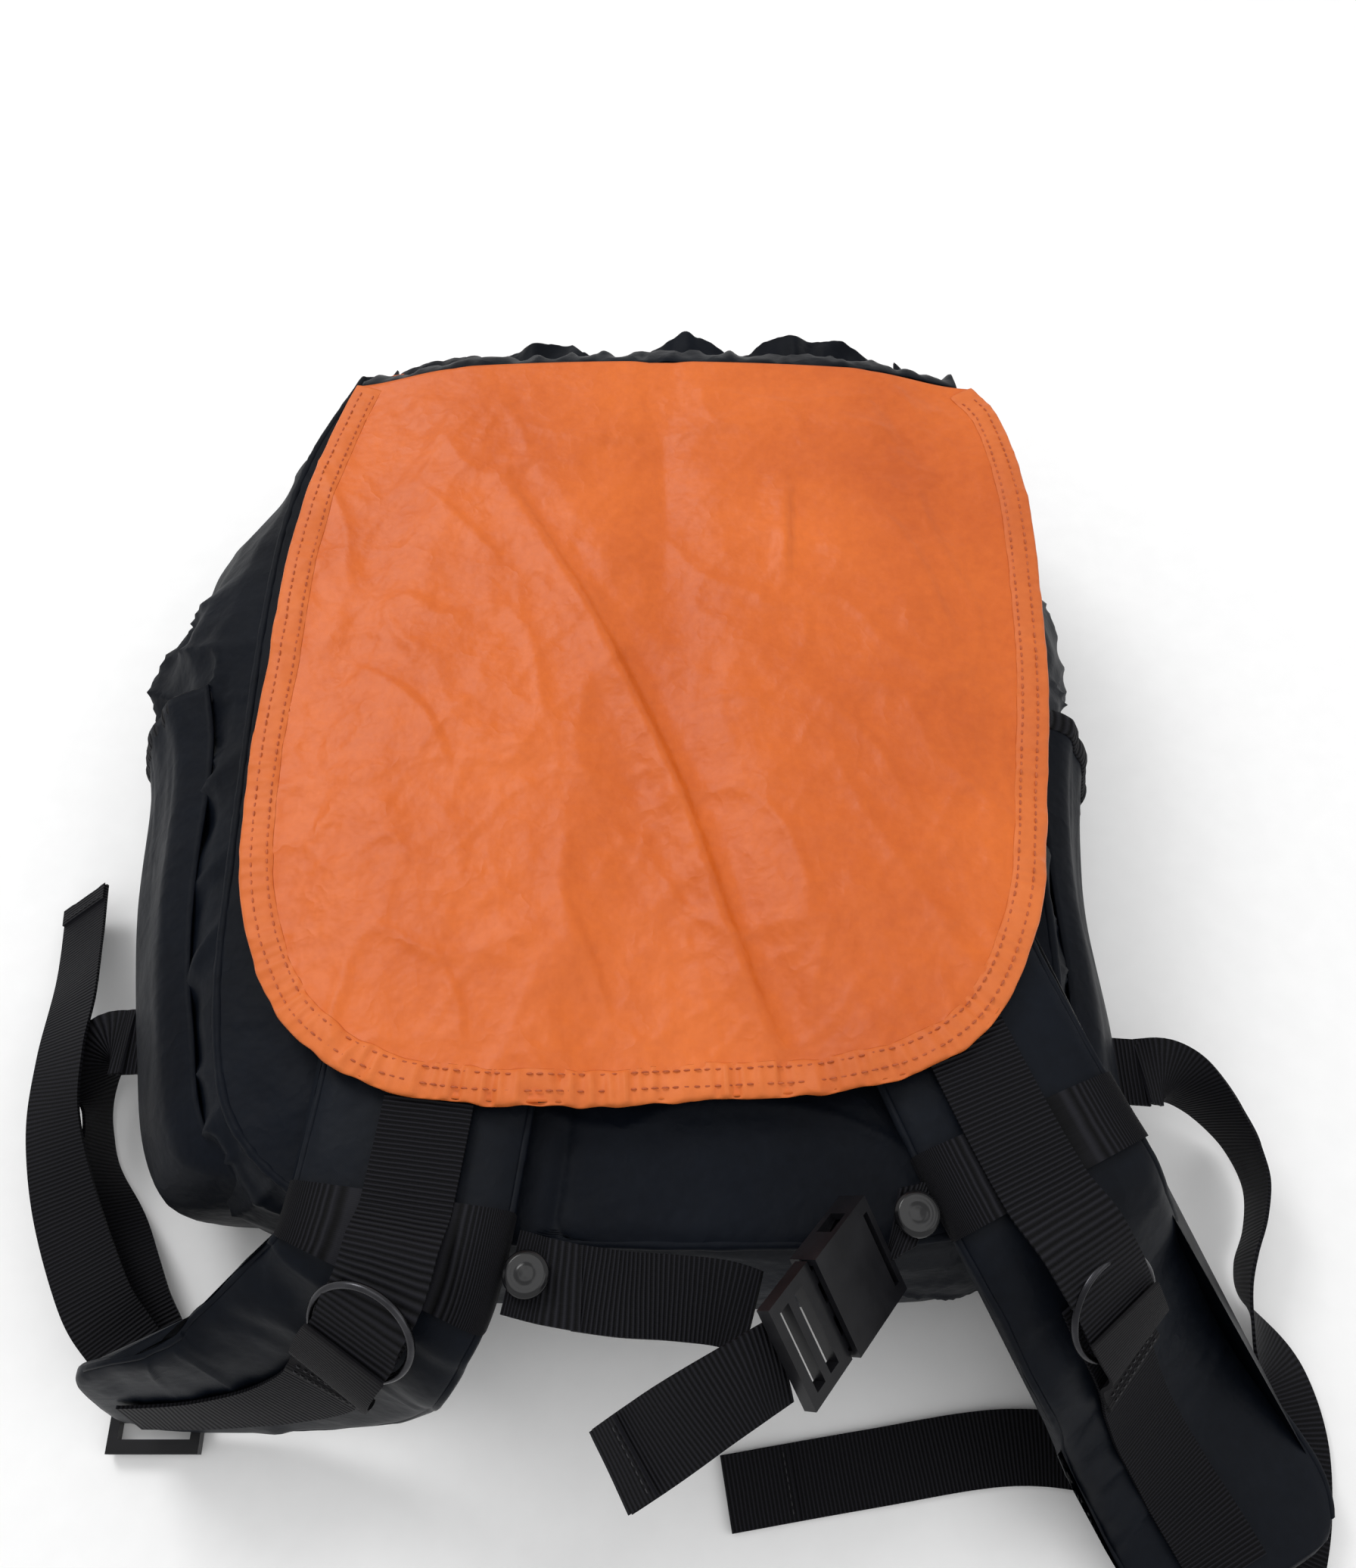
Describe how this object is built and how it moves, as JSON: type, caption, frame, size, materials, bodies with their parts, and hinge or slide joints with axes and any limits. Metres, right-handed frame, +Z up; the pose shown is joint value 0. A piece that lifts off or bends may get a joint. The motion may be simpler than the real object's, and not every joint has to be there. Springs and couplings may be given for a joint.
{
  "type": "travel backpack",
  "caption": "Soft travel backpack lying on its front, flap folded back over the harness side, with padded shoulder straps, chest strap buckle and side pockets.",
  "frame": {"origin": "on the floor under the body, on the front panel the bag lies on", "axes": "+Z up out of the back panel, +Y to the bag's mouth, +X across the bag"},
  "size_m": [0.495, 0.534, 0.1418],
  "materials": {
    "nylon_twill": "satin coated nylon",
    "orange_lining": "smooth lining cloth",
    "orange_hem": "gathered binding cloth",
    "ribbed_webbing": "ribbed webbing",
    "moulded_acetal": "fine moulded texture",
    "black_nickel": "dark plated",
    "foam_sheet": "matt foam"
  },
  "bodies": {
    "pack": {"back_foam_sheet": "foam_sheet", "back_panel": "nylon_twill", "bottom_panel": "nylon_twill", "buckle_female": "moulded_acetal", "flap_seam_band": "ribbed_webbing", "front_panel": "nylon_twill", "harness_yoke": "nylon_twill", "haul_loop": "ribbed_webbing", "left_adjuster_feed": "ribbed_webbing", "left_adjuster_tail": "ribbed_webbing", "left_anchor_tab": "ribbed_webbing", "left_corner_stud": "black_nickel", "left_eyelet": "black_nickel", "left_gusset": "nylon_twill", "left_ladder_lock": "moulded_acetal", "left_lower_webbing": "ribbed_webbing", "left_main_webbing": "ribbed_webbing", "left_pocket_elastic": "ribbed_webbing", "left_ring_tab": "ribbed_webbing", "left_shoulder_pad": "nylon_twill", "left_side_pocket": "nylon_twill", "left_snap_base": "black_nickel", "left_snap_tab": "ribbed_webbing", "left_sternum_loop": "ribbed_webbing", "lining_sack": "orange_lining", "mouth_collar": "nylon_twill", "right_adjuster_feed": "ribbed_webbing", "right_adjuster_tail": "ribbed_webbing", "right_anchor_tab": "ribbed_webbing", "right_corner_stud": "black_nickel", "right_eyelet": "black_nickel", "right_gusset": "nylon_twill", "right_lower_webbing": "ribbed_webbing", "right_main_webbing": "ribbed_webbing", "right_pocket_elastic": "ribbed_webbing", "right_ring_tab": "ribbed_webbing", "right_shoulder_pad": "nylon_twill", "right_side_pocket": "nylon_twill", "right_snap_base": "black_nickel", "right_snap_tab": "ribbed_webbing", "right_sternum_loop": "ribbed_webbing", "sternum_band": "ribbed_webbing"},
    "flap": {"flap_outer": "nylon_twill", "flap_lining": "orange_lining", "flap_hem": "orange_hem"},
    "buckle_plug": {"buckle_male": "moulded_acetal", "sternum_tail": "ribbed_webbing"},
    "left_ring": {"left_ring": "black_nickel"},
    "right_ring": {"right_ring": "black_nickel"},
    "left_cap": {"left_snap_cap": "moulded_acetal"},
    "right_cap": {"right_snap_cap": "moulded_acetal"},
    "right_lock": {"right_ladder_lock": "moulded_acetal"}
  },
  "joints": [
    {"name": "flap_hinge", "type": "hinge", "parent": "pack", "child": "flap", "pos_m": [0, 0.183, 0.1165], "axis": [-1, 0, 0], "range_deg": [0, 180]},
    {"name": "buckle_slide", "type": "slide", "parent": "pack", "child": "buckle_plug", "axis": [-0.5608, -0.6811, 0.4707], "range_m": [0, 0.028]},
    {"name": "left_ring_turn", "type": "hinge", "parent": "pack", "child": "left_ring", "pos_m": [-0.08305, -0.2042, 0.10932], "axis": [0.3127, 0.6986, -0.6436], "continuous": true},
    {"name": "right_ring_turn", "type": "hinge", "parent": "pack", "child": "right_ring", "pos_m": [0.14644, -0.1958, 0.09912], "axis": [-0.5144, 0.5286, -0.6752], "continuous": true},
    {"name": "left_snap_pull", "type": "slide", "parent": "pack", "child": "left_cap", "axis": [0.0187, -0.0037, 0.9998], "range_m": [0, 0.006]},
    {"name": "right_snap_pull", "type": "slide", "parent": "pack", "child": "right_cap", "axis": [-0.0148, 0.0069, 0.9999], "range_m": [0, 0.006]},
    {"name": "right_lock_tilt", "type": "hinge", "parent": "pack", "child": "right_lock", "pos_m": [0.218, -0.288, 0.0056], "axis": [-0.8879, -0.46, 0], "range_deg": [0, 30]}
  ]
}
